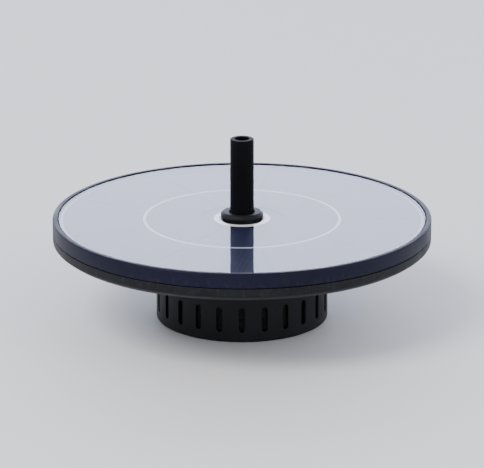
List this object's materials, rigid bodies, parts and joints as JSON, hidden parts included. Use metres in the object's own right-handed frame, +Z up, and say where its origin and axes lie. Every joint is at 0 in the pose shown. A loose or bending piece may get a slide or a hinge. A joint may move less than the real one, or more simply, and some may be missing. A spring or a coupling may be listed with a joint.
{
  "type": "floating solar fountain pump",
  "caption": "Round floating solar panel with a small submerged pump, twist-off strainer and push-on nozzle tube.",
  "frame": {"origin": "on the nozzle's axis, in the flat foot ring of the strainer", "axes": "+Z up along the nozzle; the front is -Y, where the pump's inlet faces; the pump sits towards -X"},
  "size_m": [0.16, 0.16, 0.078],
  "materials": {
    "black_plastic": "moulded black ABS, satin",
    "black_tube": "moulded black ABS, satin",
    "pump_plastic": "moulded dark grey ABS",
    "impeller_plastic": "moulded white acetal",
    "panel_board": "fibreglass board with a dark blue solder mask",
    "silicon_cell": "dark blue silicon",
    "pale_print": "pale printed line",
    "clear_sheet": "clear glossy PET sheet",
    "rubber": "black silicone rubber",
    "closed_cell_foam": "pale closed-cell foam",
    "filter_sponge": "open-cell black sponge",
    "screw_steel": "stainless steel",
    "stator_iron": "lacquered laminated iron",
    "coil_wire": "enamelled copper wire",
    "circuit_board": "green solder mask",
    "chip_resin": "black moulded resin",
    "capacitor_yellow": "yellow moulded resin",
    "magnet": "ferrite, matte",
    "ceramic": "ground alumina",
    "lead_sheath": "black PVC sheath"
  },
  "bodies": {
    "float": {"blocking_diode": "chip_resin", "coil_1": "coil_wire", "coil_2": "coil_wire", "coil_3": "coil_wire", "coil_4": "coil_wire", "driver_board": "circuit_board", "driver_chip": "chip_resin", "filter_capacitor": "capacitor_yellow", "float_screw_1": "screw_steel", "float_screw_2": "screw_steel", "float_screw_3": "screw_steel", "float_screw_4": "screw_steel", "float_screw_5": "screw_steel", "float_screw_6": "screw_steel", "float_shell": "black_plastic", "foam_float": "closed_cell_foam", "hub_collar": "black_plastic", "hub_gasket": "rubber", "inner_cell_1": "silicon_cell", "inner_cell_2": "silicon_cell", "inner_cell_3": "silicon_cell", "lead_grommet": "rubber", "motor_end_cap": "black_plastic", "motor_lead": "lead_sheath", "outer_cell_1": "silicon_cell", "outer_cell_2": "silicon_cell", "outer_cell_3": "silicon_cell", "outer_cell_4": "silicon_cell", "outer_cell_5": "silicon_cell", "outer_cell_6": "silicon_cell", "outer_cell_7": "silicon_cell", "outer_cell_8": "silicon_cell", "outer_cell_9": "silicon_cell", "panel_board": "panel_board", "panel_centre_ring": "pale_print", "panel_edge_ring": "pale_print", "panel_glazing": "clear_sheet", "panel_ring": "pale_print", "pump_body": "pump_plastic", "pump_screw_1": "screw_steel", "pump_screw_2": "screw_steel", "rear_bush": "rubber", "rim_gasket": "rubber", "rotor_shaft": "ceramic", "stator_core": "stator_iron", "terminal_block": "black_plastic", "top_tray": "black_plastic"},
    "rotor": {"impeller": "impeller_plastic", "rotor_magnet": "magnet"},
    "nozzle": {"nozzle_tube": "black_tube"},
    "basket": {"strainer": "black_plastic", "filter_sponge": "filter_sponge"},
    "cover": {"volute_cover": "pump_plastic", "cover_seal": "rubber", "front_bush": "rubber"}
  },
  "joints": [
    {"name": "rotor_spin", "type": "hinge", "parent": "float", "child": "rotor", "pos_m": [-0.0093, 0, 0.019], "axis": [0, 1, 0], "continuous": true},
    {"name": "nozzle_pull", "type": "slide", "parent": "float", "child": "nozzle", "axis": [0, 0, 1], "range_m": [0, 0.012]},
    {"name": "strainer_twist", "type": "hinge", "parent": "float", "child": "basket", "pos_m": [0, 0, 0], "axis": [0, 0, 1], "range_deg": [0, 25]},
    {"name": "cover_twist", "type": "hinge", "parent": "float", "child": "cover", "pos_m": [-0.0093, 0, 0.019], "axis": [0, 1, 0], "range_deg": [0, 20]}
  ]
}
